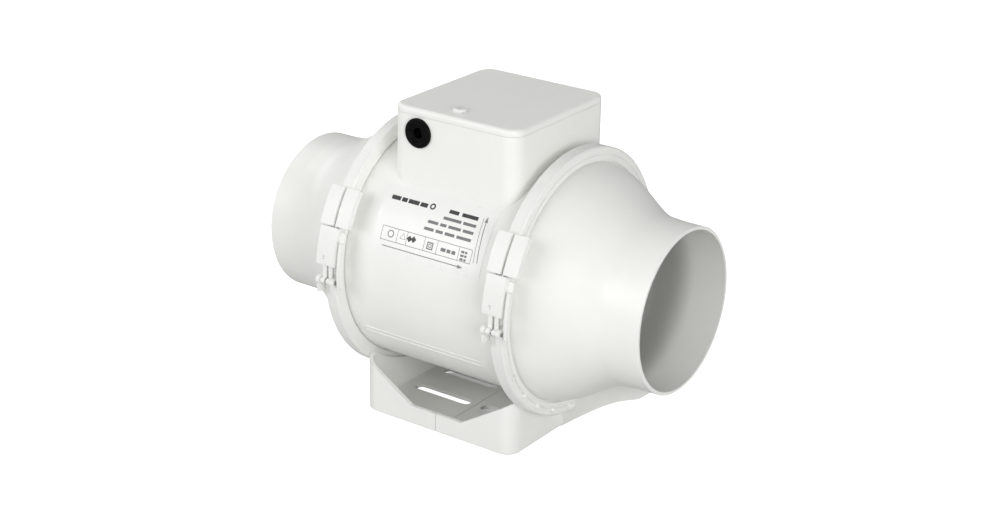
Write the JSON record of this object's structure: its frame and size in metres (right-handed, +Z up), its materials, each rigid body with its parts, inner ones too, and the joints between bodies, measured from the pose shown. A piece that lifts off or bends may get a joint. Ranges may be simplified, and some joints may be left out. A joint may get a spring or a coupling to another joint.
{
  "type": "inline bathroom extractor fan",
  "caption": "Mixed-flow inline extractor fan: cones and spigots for round duct each side of a clamped motor casing, a terminal box on top, swing latches and a slotted foot.",
  "frame": {"origin": "centre of the foot's underside, in the middle of the mounting slots", "axes": "+X along the duct towards the outlet, +Z up from the mounting surface, -Y towards the cable entry and label"},
  "size_m": [0.258, 0.1665, 0.1918],
  "materials": {
    "housing_white": "moulded ABS, soft gloss",
    "foot_white": "moulded plastic, a shade greyer than the casing",
    "clamp_white": "moulded plastic, faintly grained",
    "fan_plastic": "moulded, satin",
    "seal_rubber": "matte",
    "black_rubber": "smooth black",
    "bright_steel": "zinc plated",
    "screw_white": "coated white",
    "lamination_steel": "stacked sheet",
    "enamelled_copper": "enamelled wire",
    "label_film": null,
    "terminal_plastic": "satin",
    "capacitor_case": "satin",
    "lead_sheath": "satin"
  },
  "bodies": {
    "housing": {"inlet_duct_end": "housing_white", "outlet_duct_end": "housing_white", "inlet_foot_half": "foot_white", "outlet_foot_half": "foot_white", "foot_joining_screws": "bright_steel", "inlet_clamp_strap": "clamp_white", "outlet_clamp_strap": "clamp_white", "inlet_flange_seal": "seal_rubber", "outlet_flange_seal": "seal_rubber", "hinge_pins": "bright_steel", "motor_casing": "housing_white", "terminal_box": "housing_white", "box_plinths": "housing_white", "rating_label": "label_film", "cable_grommet": "black_rubber", "cable_clamp": "terminal_plastic", "cable_clamp_screws": "bright_steel", "terminal_block": "terminal_plastic", "terminal_screws": "bright_steel", "run_capacitor": "capacitor_case", "capacitor_clip": "bright_steel", "motor_lead": "lead_sheath", "lead_grommet": "black_rubber", "terminal_leads": "lead_sheath", "motor_hub": "fan_plastic", "guide_vanes": "fan_plastic", "vane_outer_ring": "fan_plastic", "motor_rear_cover": "fan_plastic", "motor_cover_screws": "bright_steel", "stator_core": "lamination_steel", "stator_windings": "enamelled_copper", "bearing_outer_rings": "bright_steel"},
    "rotor": {"impeller_hub": "fan_plastic", "impeller_blades": "fan_plastic", "impeller_washer": "bright_steel", "impeller_nut": "bright_steel", "motor_shaft": "bright_steel", "rotor_core": "lamination_steel", "bearing_inner_rings": "bright_steel"},
    "cover": {"terminal_box_cover": "housing_white", "cover_screw": "screw_white", "cover_seal": "seal_rubber"},
    "inlet_latch": {"inlet_latch": "clamp_white"},
    "outlet_latch": {"outlet_latch": "clamp_white"}
  },
  "joints": [
    {"name": "rotor_spin", "type": "hinge", "parent": "housing", "child": "rotor", "pos_m": [0, 0, 0.0925], "axis": [1, 0, 0], "continuous": true},
    {"name": "cover_lift", "type": "slide", "parent": "housing", "child": "cover", "axis": [0, 0, 1], "range_m": [0, 0.04]},
    {"name": "inlet_latch_open", "type": "hinge", "parent": "housing", "child": "inlet_latch", "pos_m": [-0.05775, -0.08072, 0.08898], "axis": [1, 0, 0], "range_deg": [0, 110]},
    {"name": "outlet_latch_open", "type": "hinge", "parent": "housing", "child": "outlet_latch", "pos_m": [0.05775, -0.08072, 0.08898], "axis": [1, 0, 0], "range_deg": [0, 110]}
  ]
}
